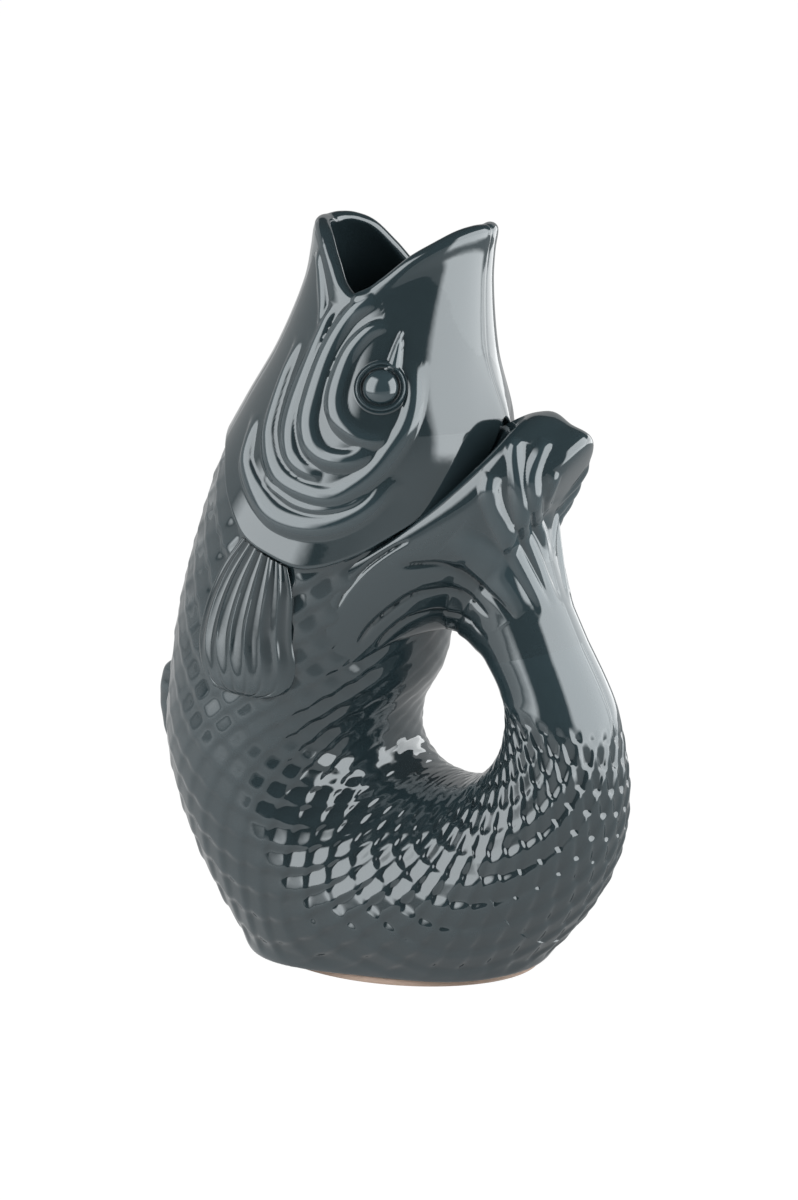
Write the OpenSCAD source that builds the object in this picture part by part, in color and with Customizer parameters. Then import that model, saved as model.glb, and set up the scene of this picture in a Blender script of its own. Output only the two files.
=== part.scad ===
// Gurgle jug: a glazed ceramic pitcher in the shape of a fish that stands on its belly. The mouth
// opens upward to pour, and the hollow tail curls up behind the body, so that the hole between
// them is the grip. The tail is open to the belly below and closed above: air trapped in it
// gurgles when the jug is tipped. Lengths are in millimetres.
// The origin is the middle of the foot on the table. +Z is up, the belly faces -X, the tail is at
// +X, and the jug is alike on both sides of the plane Y = 0. Its left side is at -Y.

/* [Jug] */
// Height from the table to the mouth's highest springing, under the rounded rim
jug_height = 250; // [200:1:300]
// Length that the body and tail sections are drawn over
jug_length = 160; // [130:1:190]
// Width of the belly
belly_width = 104; // [85:1:125]
// Thickness of the fired wall
wall = 4.5; // [3.5:0.1:5.5]

/* [Head] */
// How far the gill edge stands over the body behind it
gill_lip = 2; // [1:0.1:3]
// How much wider the rounded rim is than the wall
rim_swell = 0.8; // [0:0.1:1.5]
// Radius of the eyeball
eye_radius = 5.8; // [4:0.1:7]
// Width of the groove and lid round the eyeball
eye_lid = 2.6; // [2:0.1:4]
// How far the eyeball stands out
eye_rise = 3.4; // [2:0.1:5]

// How far the cheek's folds stand out
fold_rise = 1.8; // [1:0.1:2.4]
// Width of a fold
fold_width = 6.4; // [3:0.1:7]

/* [Scales] */
// Depth of the grooves between the scales
scale_depth = 0.9; // [0.3:0.1:1.2]

/* [Fins] */
// How far the side fins stand out
side_fin_rise = 3.2; // [2:0.1:5]
// How far the belly fin stands out
belly_fin_rise = 12; // [6:0.5:14]
// Thickness of a fin at its thinnest edge
fin_edge = 0.8; // [0.5:0.1:1.5]
// Bedding left between a raised detail and the skin under it
bedding = 0.2; // [0.15:0.05:0.4]

/* [Foot] */
// Length of the oval foot
foot_length = 98; // [80:1:110]
// Width of the oval foot
foot_width = 76; // [60:1:84]
// Height of the foot
foot_height = 2.5; // [2:0.1:4]
// Width of the foot's bare ring
foot_ring = 7; // [5:0.5:12]

/* [Hidden] */

glaze = [0.25, 0.32, 0.34];
bare_clay = [0.80, 0.71, 0.65];

// Scales round a section
scales_around = 22;

// Facets: points round a section, two for each scale, rows along a surface and points across a lobe
around = 2 * scales_around;
head_rows = 14;
tail_rows = 14;
lobe_rows = 14;
lining_rows = 10;
lobe_columns = 14;
rim_points = 7;
fin_rows = 15;
fin_columns = 14;
eye_rings = 9;
eye_bed_rings = 3;
eye_points = 24;
fold_rows = 14;
fold_columns = 4;
// A fold's width at its ends as a share of a half turn, and the height of its edges as a share
fold_end_share = 0.06;
fold_edge_share = 0.15;

// Sections of the fish from the mouth to the end of the tail, fanned round the grip hole. Each row
// is the outer point, x and z, the inner point, x and z, and the half width. Lengthways values are
// shares of jug_length, heights of jug_height and half widths of belly_width.
section_shares = [
    [-0.133, 1.056, 0.199, 1.056, 0.192],
    [-0.186, 0.988, 0.204, 0.996, 0.226],
    [-0.208, 0.920, 0.193, 0.920, 0.264],
    [-0.261, 0.840, 0.199, 0.828, 0.327],
    [-0.334, 0.760, 0.228, 0.736, 0.389],
    [-0.403, 0.672, 0.199, 0.640, 0.428],
    [-0.451, 0.580, 0.152, 0.548, 0.457],
    [-0.489, 0.484, 0.090, 0.456, 0.481],
    [-0.511, 0.388, 0.060, 0.390, 0.495],
    [-0.517, 0.284, 0.010, 0.336, 0.500],
    [-0.464, 0.164, 0.002, 0.290, 0.495],
    [-0.362, 0.038, 0.042, 0.264, 0.484],
    [-0.226, -0.056, 0.089, 0.256, 0.476],
    [0.017, -0.056, 0.124, 0.254, 0.452],
    [0.227, -0.032, 0.171, 0.260, 0.413],
    [0.384, 0.050, 0.217, 0.280, 0.351],
    [0.486, 0.152, 0.249, 0.312, 0.284],
    [0.516, 0.260, 0.257, 0.352, 0.231],
    [0.485, 0.368, 0.244, 0.392, 0.192],
    [0.416, 0.460, 0.209, 0.427, 0.173],
];
// The section where the body ends and the tail begins, and the one where the lobes begin
tail_index = 15;
lobe_index = 19;
// Where the tail's hollow ends below the lobes
hollow_index = 18.4;

// Angles run round a section from the back, 0, over the left side to the front, 180. These tables
// have a row for every angle_step degrees between the two.
angle_step = 15;
// Height of the mouth's edge, as shares of jug_height
mouth_shares = [0.991, 0.991, 0.986, 0.973, 0.955, 0.927, 0.904, 0.918, 0.950, 0.977, 0.988, 0.991, 0.990];
// Section that the gill edge crosses, how far the head's skin stands out there as shares of
// gill_lip, and the share of the head above the part that swells
gill_sections = [3.82, 4.45, 4.90, 5.30, 5.71, 5.92, 5.82, 5.62, 5.20, 4.75, 4.53, 4.46, 4.45];
gill_lip_shares = [1, 1, 1, 1, 1, 1, 1, 1, 1, 0.8, 0.6, 0.45, 0.4];
smooth_head_share = 0.6;
// Where the tail's lobes grow out of the body: section and angle on the skin, and the section at
// which the same row crosses the middle of the back
root_places = [
    [6.97, 0, 6.97], [7.04, 18, 6.90], [7.18, 31, 6.80], [7.38, 41, 6.62], [7.25, 49, 6.38],
    [6.75, 58.5, 6.12], [6.20, 60.5, 5.84], [5.82, 56, 5.56], [5.53, 47, 5.30], [5.23, 37, 5.03],
    [4.92, 24, 4.77], [4.50, 11, 4.43], [4.03, 0, 4.03],
];

// Sections of the tail's lobes from the tail to the body, laid out like section_shares. The first
// continues the tail and the last two lean toward the roots on the body.
lobe_shares = [
    [0.485, 0.368, 0.244, 0.392, 0.192],
    [0.416, 0.460, 0.209, 0.427, 0.173],
    [0.359, 0.544, 0.186, 0.436, 0.166],
    [0.341, 0.616, 0.164, 0.445, 0.163],
    [0.361, 0.648, 0.146, 0.451, 0.166],
    [0.427, 0.724, 0.138, 0.455, 0.183],
    [0.377, 0.748, 0.124, 0.457, 0.212],
    [0.308, 0.760, 0.111, 0.458, 0.264],
];
// Point round the lobes' sections where the upper lobe meets the lower one
lobe_split_index = 12;

// Rows of scales, each half a scale round from the next: section of the first row, the step to the
// next one, how much a step grows from row to row, and the row where the tail begins
first_scale_index = 3.8;
scale_step_index = 0.24;
scale_growth_index = 0.00127;
tail_scale_row = 42;
// Where the scales begin and reach their depth: sections behind the gill edge, sections before the
// lobes, degrees from the middle of the back and height over the foot
gill_fade_index = 0.2;
lobe_fade_indices = [18.4, 17.3];
back_fade_angles = [20, 45];
foot_fade = 5;

// Edges of a side fin from its root to its tip: section and angle of the front edge, then of the
// back edge
side_fin_edges = [
    [5.72, 106, 5.99, 82],
    [6.20, 111.5, 6.40, 75.5],
    [6.75, 113.5, 6.95, 70],
    [7.30, 112, 7.45, 65.5],
    [7.75, 105.5, 7.90, 66.5],
    [7.97, 95, 8.06, 76],
];
// Rise of a side fin from its root to its tip, and how round it is across: 1 for a sine, less for
// a flatter top with steeper sides
side_fin_shares = [0.45, 0.68, 0.87, 0.98, 0.97, 0];
side_fin_exponent = 0.6;
// Sections between which the belly fin runs, its half angle, its rise from top to bottom, and how
// sharp its ridge is
belly_fin_top_index = 8.05;
belly_fin_bottom_index = 9.75;
belly_fin_angle = 8;
belly_fin_shares = [0.04, 0.84, 1.02, 1.02, 0.95, 0.80, 0.04];
belly_fin_exponent = 1.5;
// Folds of the cheek: places on the skin, section and angle, that each runs through, and its rise
// as a share of fold_rise
cheek_folds = [
    [[[4.05, 128], [4.45, 123], [4.75, 118], [5.05, 107], [5.30, 95], [5.38, 83], [5.33, 72], [5.15, 63],
        [4.90, 57], [4.60, 54]], 0.9],
    [[[2.80, 121], [3.40, 120], [4.10, 116], [4.40, 111], [4.65, 104], [4.83, 95], [4.93, 83],
        [4.92, 74], [4.75, 67], [4.53, 61.5], [4.25, 57.5], [3.90, 53], [3.50, 50], [3.00, 49.5]], 0.85],
    [[[2.25, 103], [2.55, 105], [2.95, 106.5], [3.40, 107], [3.80, 106.5], [4.15, 104], [4.45, 98],
        [4.62, 90], [4.68, 81]], 0.85],
    [[[2.10, 79], [2.45, 92], [3.00, 98], [3.65, 98.5], [4.02, 96], [4.30, 89.5], [4.42, 81.5], [4.40, 72],
        [4.22, 64]], 1],
    [[[2.46, 67], [2.58, 77], [2.88, 84.5], [3.28, 87], [3.62, 86.5], [3.88, 82], [4.05, 73.5], [4.10, 65],
        [4.02, 59]], 0.85],
];
// Section and angle of the eye's centre, and the least height of its edge as a share of its rise
eye_index = 3.35;
eye_angle = 65;
eye_edge_share = 0.15;
// Depth of the groove round the eyeball and height of the lid, as shares of the eye's rise
eye_groove_share = 0.12;
eye_lid_share = 0.42;
// Steps used to measure the skin's slope
index_step = 0.01;
slope_angle = 0.5;

// Curves

// Value of a smooth curve through rows, at t rows from the first. The curve ends as it began, or
// is mirrored at both ends.
function spline(rows, t, mirrored = false) = let (
    last = len(rows) - 1,
    i = max(0, min(floor(t), last)),
    f = t - i,
    b = rows[i],
    c = rows[min(i + 1, last)],
    a = i > 0 ? rows[i - 1] : mirrored ? c : b,
    d = i + 2 <= last ? rows[i + 2] : mirrored ? b : c
) (2 * b + (c - a) * f + (2 * a - 5 * b + 4 * c - d) * f * f + (3 * b - a - 3 * c + d) * f * f * f) / 2;

// An angle folded to 0 to 180
function folded(angle) = angle > 180 ? 360 - angle : abs(angle);
function by_angle(rows, angle) = spline(rows, folded(angle) / angle_step, true);

function mix(a, b, t) = a * (1 - t) + b * t;
function reversed(rows) = [for (i = [len(rows) - 1:-1:0]) rows[i]];

// Skin of the fish

function sized(shares) = [
    shares[0] * jug_length, shares[1] * jug_height,
    shares[2] * jug_length, shares[3] * jug_height, shares[4] * belly_width
];

// Point of an oval section, with the wall's depth taken off all round
function oval_point(section, angle, depth = 0) = let (
    half = [section[2] - section[0], section[3] - section[1]] / 2,
    centre = [section[2] + section[0], section[3] + section[1]] / 2,
    reach = (1 - depth / norm(half)) * cos(angle)
) [centre[0] + half[0] * reach, -(section[4] - depth) * sin(angle), centre[1] + half[1] * reach];

// Point of the skin, or of the lining under it. The foot's plane cuts the sections flat.
function skin(place, angle, depth = 0) = let (
    p = oval_point(sized(spline(section_shares, place)), angle, depth)
) [p[0], p[1], max(p[2], foot_height + max(depth, 0))];

// Point raised off the skin along its own slope
function raised(place, angle, rise) = let (
    along = skin(place + index_step, angle) - skin(place - index_step, angle),
    across = skin(place, angle + slope_angle) - skin(place, angle - slope_angle),
    out = cross(across, along)
) skin(place, angle) + out / norm(out) * rise;

// Section at which the skin reaches a height, below the mouth
function place_at(height, angle, place = 1, tries = 24) = tries == 0 ? place :
    let (slope = (skin(place + index_step, angle)[2] - skin(place, angle)[2]) / index_step)
    place_at(height, angle, place + (height - skin(place, angle)[2]) / slope, tries - 1);

function mouth_place(angle) = place_at(by_angle(mouth_shares, angle) * jug_height, folded(angle));
function gill_place(angle) = by_angle(gill_sections, angle);

// Section of a row of scales, and the row that lies at a section
function scale_place(row) = row == tail_scale_row ? tail_index :
    first_scale_index + scale_step_index * row + scale_growth_index * row * row / 2;
function scale_row(place) = (sqrt(
    scale_step_index * scale_step_index + 2 * scale_growth_index * (place - first_scale_index)
) - scale_step_index) / scale_growth_index;

// Share of the way from one value to another, between 0 and 1
function ramp(value, from, to) = max(0, min(1, (value - from) / (to - from)));

// How far the clay is pressed in between the scales
function pressed(place, angle) = let (gill = gill_place(angle))
    scale_depth * (1 - cos(180 * scale_row(place)) * cos(scales_around * angle)) / 2
    * ramp(place, gill, gill + gill_fade_index)
    * ramp(place, lobe_fade_indices[0], lobe_fade_indices[1])
    * ramp(folded(angle), back_fade_angles[0], back_fade_angles[1])
    * ramp(skin(place, angle)[2], foot_height, foot_height + foot_fade);

// One row of the scaled skin
function scaled_row(places) =
    [for (j = [0:around]) skin(places[j], angles[j], pressed(places[j], angles[j]))];

// Angles of the points round a section
angles = [for (j = [0:around]) 360 * j / around];
mouth_places = [for (a = angles) mouth_place(a)];
gill_places = [for (a = angles) gill_place(a)];

// One row round the skin or lining, between two lists of places
function skin_row(from, to, t, depth = 0) =
    [for (j = [0:around]) skin(mix(from[j], to[j], t), angles[j], depth)];

// Solids from rows of points

// Which quads of a patch take the other diagonal: none, or those whose valley between two scales
// runs that way
straight = function(i, j) false;
scaled = function(i, j) (i + j) % 2 == 0;

function whole(p, q, r) = p != q && q != r && r != p;

// Triangles between the rows of one patch. Quads that crossed picks take the other diagonal.
function patch_faces(rows, first, turned, crossed) = let (n = len(rows[0])) [
    for (i = [0:len(rows) - 2]) for (j = [0:n - 2]) let (
        a = [first + i * n + j, rows[i][j]],
        b = [first + i * n + j + 1, rows[i][j + 1]],
        c = [first + (i + 1) * n + j + 1, rows[i + 1][j + 1]],
        d = [first + (i + 1) * n + j, rows[i + 1][j]],
        pair = crossed(i, j) ? [[a, b, d], [b, c, d]] : [[a, b, c], [a, c, d]]
    ) for (t = pair) if (whole(t[0][1], t[1][1], t[2][1]))
        turned ? [t[0][0], t[1][0], t[2][0]] : [t[2][0], t[1][0], t[0][0]]
];

// Solid stitched from patches, each written as its rows, whether it is turned, and which of its
// quads are crossed
module stitched(patches) {
    counts = [for (p = patches) len(p[0]) * len(p[0][0])];
    starts = [for (i = 0, n = 0; i < len(patches); n = n + counts[i], i = i + 1) n];
    polyhedron(
        [for (p = patches) for (row = p[0]) each row],
        [for (i = [0:len(patches) - 1]) let (p = patches[i]) each patch_faces(p[0], starts[i], p[1], p[2])],
        convexity = 8
    );
}

// Hollow shell: its outer rows, then its lining's rows the other way, back to the first
module shell(outer, lining, crossed) {
    stitched([[concat(outer, reversed(lining), [outer[0]]), false, crossed]]);
}

// A row that has shrunk to the middle of another
function closed_row(row) = let (
    n = len(row) - 1,
    sum = [for (i = 0, s = [0, 0, 0]; i <= n; s = s + (i < n ? row[i] : [0, 0, 0]), i = i + 1) s][n]
) [for (p = row) sum / n];

// Head, rim and body

// How far the head's skin swells out at a share of the way from the mouth to the gill edge
function gill_swell(angle, share) = gill_lip * by_angle(gill_lip_shares, angle)
    * pow(max(0, share - smooth_head_share) / (1 - smooth_head_share), 2);

module head() {
    body_edge = skin_row(gill_places, gill_places, 0);
    color(glaze) shell(
        concat([for (i = [0:head_rows]) let (t = i / head_rows) [for (j = [0:around])
            skin(mix(mouth_places[j], gill_places[j], t), angles[j], -gill_swell(angles[j], t))
        ]], [body_edge]),
        [for (i = [0:head_rows]) skin_row(mouth_places, gill_places, i / head_rows, wall)],
        straight
    );
}

// How far the head's skin stands out at a place
function head_swell(place, angle) = let (top = mouth_place(angle))
    gill_swell(angle, (place - top) / (gill_place(angle) - top));

// One fold: a rounded strip along its line, from its start to its end
module fold(line, share, hand) {
    last = len(line) - 1;
    sprig([for (i = [0:fold_rows]) let (
        t = i / fold_rows,
        middle = spline(line, t * last),
        before = spline(line, max(0, t * last - index_step)),
        after = spline(line, min(last, t * last + index_step)),
        along = norm(skin(middle[0] + index_step, middle[1]) - skin(middle[0] - index_step, middle[1]))
            / (2 * index_step),
        across = norm(skin(middle[0], middle[1] + slope_angle) - skin(middle[0], middle[1] - slope_angle))
            / (2 * slope_angle),
        way = [(after[0] - before[0]) * along, (after[1] - before[1]) * across],
        side = [-way[1], way[0]] / norm(way) * fold_width / 2,
        swell = sqrt(max(0, sin(180 * mix(fold_end_share, 1 - fold_end_share, t))))
    ) [for (k = [0:fold_columns]) let (
        s = 2 * k / fold_columns - 1,
        place = middle[0] + side[0] * s * swell / along,
        angle = middle[1] + side[1] * s * swell / across
    ) [
        place, hand * angle,
        bedding + head_swell(place, angle) + fold_rise * share * swell * mix(fold_edge_share, 1, 1 - s * s),
        bedding + head_swell(place, angle)
    ]]], hand < 0);
}

module cheek_folds_of(hand) {
    color(glaze) for (f = cheek_folds) fold(f[0], f[1], hand);
}

module left_cheek_folds() cheek_folds_of(1);

module right_cheek_folds() cheek_folds_of(-1);

module mouth_rim() {
    outer = skin_row(mouth_places, mouth_places, 0);
    inner = skin_row(mouth_places, mouth_places, 0, wall);
    bead = [for (i = [0:rim_points]) let (turn = 180 * i / rim_points) [for (j = [0:around]) let (
        middle = (outer[j] + inner[j]) / 2,
        half = (outer[j] - inner[j]) / 2,
        along = outer[(j + 1) % around] - outer[(j + around - 1) % around],
        up = cross(along, half),
        swell = 1 + rim_swell / wall * sin(turn)
    ) middle + half * cos(turn) * swell + up / norm(up) * norm(half) * sin(turn) * swell]];
    color(glaze) stitched([[concat(bead, [bead[0]]), true, straight]]);
}

module body() {
    ends = [for (a = angles) tail_index];
    color(glaze) shell(
        [for (i = [0:tail_scale_row]) scaled_row([for (g = gill_places) max(g, scale_place(i))])],
        [for (i = [0:lining_rows]) skin_row(gill_places, ends, i / lining_rows, wall)],
        function(i, j) i < tail_scale_row ? scaled(i, j) : i == tail_scale_row + 1 + lining_rows
    );
}

module foot() {
    color(bare_clay) linear_extrude(foot_height) difference() {
        polygon(oval(foot_length, foot_width));
        polygon(oval(foot_length - 2 * foot_ring, foot_width - 2 * foot_ring));
    }
}

function oval(length, width) =
    [for (j = [0:around - 1]) [length / 2 * cos(angles[j]), width / 2 * sin(angles[j])]];

// Tail and its lobes

module tail() {
    starts = [for (a = angles) tail_index];
    ends = [for (a = angles) lobe_index];
    tops = [for (a = angles) hollow_index];
    outer = [for (i = [0:tail_rows]) scaled_row(
        [for (e = ends) i == tail_rows ? e : min(e, scale_place(tail_scale_row + i))])];
    lining = [for (i = [0:lining_rows]) skin_row(starts, tops, i / lining_rows, wall)];
    color(glaze) stitched([[concat(
        [closed_row(lining[lining_rows])], reversed(lining), outer, [closed_row(outer[tail_rows])]
    ), false, scaled]]);
}

// Point on the skin between the left root and the right one, at t from left to right
function root_point(angle, t) = let (place = by_angle(root_places, angle))
    raised(place[0] + (place[2] - place[0]) * 4 * t * (1 - t), place[1] * (1 - 2 * t), bedding);

// Outer point of the lobes, at t from the body to the tail
function lobe_point(angle, t) = let (
    last = len(lobe_shares) - 1,
    root = root_point(folded(angle), angle > 180 ? 1 : 0),
    rows = concat([root], [for (i = [last:-1:0]) oval_point(sized(lobe_shares[i]), angle)])
) t == 0 ? root : t == 1 ? skin(lobe_index, angle) : spline(rows, t * last);

// Point between the two lobes, at t from the body to the tail and s from left to right. It leaves
// the curve of the body's back within the first section.
function between_point(t, s) = let (
    angle = angles[lobe_split_index],
    left = lobe_point(angle, t),
    right = [left[0], -left[1], left[2]],
    left_root = root_point(angle, 0),
    right_root = [left_root[0], -left_root[1], left_root[2]],
    last = len(lobe_shares) - 1
) s == 0 ? left : s == 1 ? right :
    mix(left, right, s) + (root_point(angle, s) - mix(left_root, right_root, s)) * max(0, 1 - t * last);

// One lobe, from the middle of its outside round to where it meets the other lobe and back
module lobe(middle, upper) {
    from = upper ? around / 2 : 0;
    step = upper ? -1 : 1;
    left = [for (j = [from:step:lobe_split_index]) angles[j]];
    right = [for (a = reversed(left)) a == 0 ? 0 : 360 - a];
    columns = [for (k = [1:lobe_columns - 1]) k / lobe_columns];
    rows = [for (i = [0:lobe_rows]) let (t = i / lobe_rows) concat(
        [for (a = left) lobe_point(a, t)],
        [for (s = columns) between_point(t, s)],
        [for (a = right) lobe_point(a, t)]
    )];
    seat = [for (a = left) concat(
        [lobe_point(a, 0)],
        [for (s = columns) a == angles[lobe_split_index] ? between_point(0, s) : root_point(a, s)],
        [lobe_point(a == 0 ? 0 : 360 - a, 0)]
    )];
    color(glaze) stitched([
        [concat(rows, [closed_row(rows[lobe_rows])]), !upper, straight],
        [seat, !upper, straight]
    ]);
}

module upper_tail_lobe() lobe(true, true);

module lower_tail_lobe() lobe(true, false);

// Raised details

// Detail that lies on the skin: rows of [section, angle, rise] for its top, with a fourth value
// where its underside isn't at the bedding, turned where a row runs from the front to the back
module sprig(rows, turned = false) {
    last = len(rows) - 1;
    tops = [for (row = rows) [for (p = row) raised(p[0], p[1], p[2])]];
    beds = [for (row = rows) [for (p = row) raised(p[0], p[1], len(p) > 3 ? p[3] : bedding)]];
    stitched([
        [tops, turned, straight],
        [beds, !turned, straight],
        [[tops[0], beds[0]], !turned, straight],
        [[tops[last], beds[last]], turned, straight],
        [[[for (i = [0:last]) tops[i][0]], [for (i = [0:last]) beds[i][0]]], turned, straight],
        [[[for (row = tops) row[len(row) - 1]], [for (row = beds) row[len(row) - 1]]], !turned, straight]
    ]);
}

module side_fin(hand) {
    last = len(side_fin_edges) - 1;
    color(glaze) sprig([for (i = [0:fin_rows]) let (
        edges = spline(side_fin_edges, i / fin_rows * last),
        ridge = (side_fin_rise - fin_edge) * spline(side_fin_shares, i / fin_rows * last)
    ) [for (k = [0:fin_columns]) let (s = k / fin_columns) [
        mix(edges[0], edges[2], s), hand * mix(edges[1], edges[3], s),
        bedding + fin_edge + ridge * pow(sin(180 * s), side_fin_exponent)
    ]]], hand > 0);
}

module left_side_fin() side_fin(1);

module right_side_fin() side_fin(-1);

module belly_fin() {
    last = len(belly_fin_shares) - 1;
    color(glaze) sprig([for (i = [0:fin_rows]) let (
        t = i / fin_rows,
        ridge = (belly_fin_rise - fin_edge) * spline(belly_fin_shares, t * last)
    ) [for (k = [0:fin_columns]) let (s = 2 * k / fin_columns - 1) [
        mix(belly_fin_top_index, belly_fin_bottom_index, t), 180 + s * belly_fin_angle,
        bedding + fin_edge + ridge * pow(cos(90 * s), belly_fin_exponent)
    ]]]);
}

// Rise of the eye at a share of its radius: a ball, a groove and a lid round it
function eye_profile(share) = let (ball = eye_radius / (eye_radius + eye_lid)) share < ball ?
    mix(eye_groove_share, 1, sqrt(1 - pow(share / ball, 2))) :
    mix(eye_edge_share, eye_lid_share, sin(180 * (share - ball) / (1 - ball)));

module eye(hand) {
    along = norm(skin(eye_index + index_step, eye_angle) - skin(eye_index - index_step, eye_angle));
    across = norm(skin(eye_index, eye_angle + slope_angle) - skin(eye_index, eye_angle - slope_angle));
    function ring(share, rise) = let (reach = share * (eye_radius + eye_lid))
        [for (k = [0:eye_points]) let (turn = 360 * k / eye_points) raised(
            eye_index + reach * cos(turn) * 2 * index_step / along,
            hand * (eye_angle + reach * sin(turn) * 2 * slope_angle / across),
            rise
        )];
    color(glaze) stitched([[concat(
        [for (i = [0:eye_rings]) ring(i / eye_rings, bedding + eye_rise * eye_profile(i / eye_rings))],
        [for (i = [eye_bed_rings:-1:0]) ring(i / eye_bed_rings, bedding)]
    ), hand < 0, straight]]);
}

module left_eye() eye(1);

module right_eye() eye(-1);

head();
mouth_rim();
left_cheek_folds();
right_cheek_folds();
body();
tail();
upper_tail_lobe();
lower_tail_lobe();
left_side_fin();
right_side_fin();
belly_fin();
left_eye();
right_eye();
foot();
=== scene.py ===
"""Looks of a fish-shaped gurgle jug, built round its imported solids."""
import logging
import math
from contextlib import contextmanager
from dataclasses import dataclass
from enum import Enum
from typing import Any, Callable, Iterator, Optional, Sequence

import bpy
import numpy as np
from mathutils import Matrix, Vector


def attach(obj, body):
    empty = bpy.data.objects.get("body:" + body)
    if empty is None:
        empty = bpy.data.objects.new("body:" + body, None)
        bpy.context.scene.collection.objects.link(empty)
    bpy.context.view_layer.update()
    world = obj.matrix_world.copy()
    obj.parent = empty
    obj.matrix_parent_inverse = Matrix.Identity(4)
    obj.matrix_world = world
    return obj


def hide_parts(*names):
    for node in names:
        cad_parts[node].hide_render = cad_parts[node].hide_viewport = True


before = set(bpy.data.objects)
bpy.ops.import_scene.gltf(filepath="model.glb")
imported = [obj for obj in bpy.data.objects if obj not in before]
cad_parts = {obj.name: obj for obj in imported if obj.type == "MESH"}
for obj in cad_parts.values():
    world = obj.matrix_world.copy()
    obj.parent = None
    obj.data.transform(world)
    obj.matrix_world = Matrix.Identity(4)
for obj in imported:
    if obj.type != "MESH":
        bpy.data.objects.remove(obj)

logging.basicConfig(level=logging.INFO, format="%(message)s")
log = logging.getLogger("jug")

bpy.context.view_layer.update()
MM = 0.001
MERGE_DISTANCE = 0.002 * MM
# How thin the glaze lies inside the jug, from 0 for thick to 1 for thin.
LINING_GLAZE = 0.2
Points = np.ndarray
Line = Sequence[tuple[float, float]]


# Curves and shares

def curve_between(a: Points, b: Points, c: Points, d: Points, f: Points) -> Points:
    """Smooth curve from b to c that leans at its ends as its neighbours do.

    Args:
        a: value before b.
        b: value at the start.
        c: value at the end.
        d: value after c.
        f: share of the way from b to c.

    Returns:
        The values there.
    """
    square, cube = 2 * a - 5 * b + 4 * c - d, 3 * b - a - 3 * c + d
    return (2 * b + (c - a) * f + square * f * f + cube * f**3) / 2


def spline(rows: Any, t: Any, mirrored: bool = False) -> Points:
    """Value of a smooth curve through rows.

    Args:
        rows: values or points that the curve passes through.
        t: places on the curve, counted in rows.
        mirrored: whether the curve is mirrored at its ends.

    Returns:
        One value or point for each place.
    """
    table = np.asarray(rows, float)
    flat = table.ndim == 1
    table = table[:, None] if flat else table
    t = np.asarray(t, float)
    last = len(table) - 1
    i = np.clip(np.floor(t).astype(int), 0, last)
    f = (t - i)[..., None]
    b, c = table[i], table[np.minimum(i + 1, last)]
    a = np.where((i > 0)[..., None], table[np.maximum(i - 1, 0)], c if mirrored else b)
    d = np.where((i + 2 <= last)[..., None], table[np.minimum(i + 2, last)], b if mirrored else c)
    out = curve_between(a, b, c, d, f)
    return out[..., 0] if flat else out


def ease(x: Any, low: float, high: float) -> Points:
    """Smooth step of x from 0 at low to 1 at high, or down if low is above high."""
    s = np.clip((np.asarray(x, float) - low) / (high - low), 0, 1)
    return s * s * (3 - 2 * s)


def band(x: Any, rise: tuple[float, float], fall: tuple[float, float]) -> Points:
    """Share that goes smoothly from 0 to 1 over one stretch of x, and back over another.

    Args:
        x: the places.
        rise: start and end of the first stretch.
        fall: start and end of the second stretch.

    Returns:
        A share for each place.
    """
    return ease(x, *rise) * ease(x, *reversed(fall))


def thinness(relief: Points, level: float, crest: float) -> Points:
    """How thin the glaze lies, from 0 for thick to 1 for thin.

    Args:
        relief: how far the points stand out.
        level: how thin it lies where nothing stands out.
        crest: relief over which it thins by 1.

    Returns:
        A value for each point.
    """
    return np.clip(level + relief / crest, 0, 1)


def folded(angle: Any) -> Points:
    """An angle round a section folded to 0 to 180 degrees."""
    angle = np.asarray(angle, float)
    return np.where(angle > 180, 360 - angle, np.abs(angle))


def units(v: Points) -> Points:
    """Vectors scaled to a length of 1."""
    return v / np.maximum(np.linalg.norm(v, axis=-1, keepdims=True), 1e-12)


def outward_normals(points: Points) -> Points:
    """Unit normals of a grid of points round the jug's left side.

    Args:
        points: rows and columns of points, of which the first and last columns lie on the
            jug's middle plane.

    Returns:
        One normal for each point, on the outside of the jug.
    """
    out = np.cross(np.gradient(points, axis=1), np.gradient(points, axis=0))
    out[:, [0, -1], 1] = 0
    out = units(out)
    inward = (out[:, points.shape[1] // 2, 1] > 0).mean() > 0.5
    return -out if inward else out


def both_sides(left: Points) -> Points:
    """Closes columns that run round the left side with their mirror image on the right.

    Args:
        left: rows and columns of points, or of a value at each point.

    Returns:
        Rows whose columns run all round.
    """
    flip = [1, -1, 1] if left.ndim == 3 else 1
    return np.concatenate([left, left[:, -2::-1] * flip], axis=1)


def blended(values: Points, axis: int, ends: str) -> Points:
    """Blends each value of a grid once with its two neighbours.

    Args:
        values: the grid.
        axis: the axis along which the neighbours lie.
        ends: how the grid goes on past its ends, as np.pad names it.

    Returns:
        The blended grid.
    """
    room = [(0, 0)] * values.ndim
    room[axis] = (1, 1)
    wide = np.moveaxis(np.pad(values, room, ends), axis, 0)
    return np.moveaxis((wide[:-2] + 2 * wide[1:-1] + wide[2:]) / 4, 0, axis)


def softened(values: Points, passes: int) -> Points:
    """A grid of heights smoothed as a coat of glaze smooths them.

    Args:
        values: heights at rows and columns, of which the first and last columns lie on the
            jug's middle plane.
        passes: how often each height is blended with its neighbours.

    Returns:
        The smoothed heights.
    """
    for _ in range(passes):
        values = blended(blended(values, 0, "edge"), 1, "reflect")
    return values


# The fish's form

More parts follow.
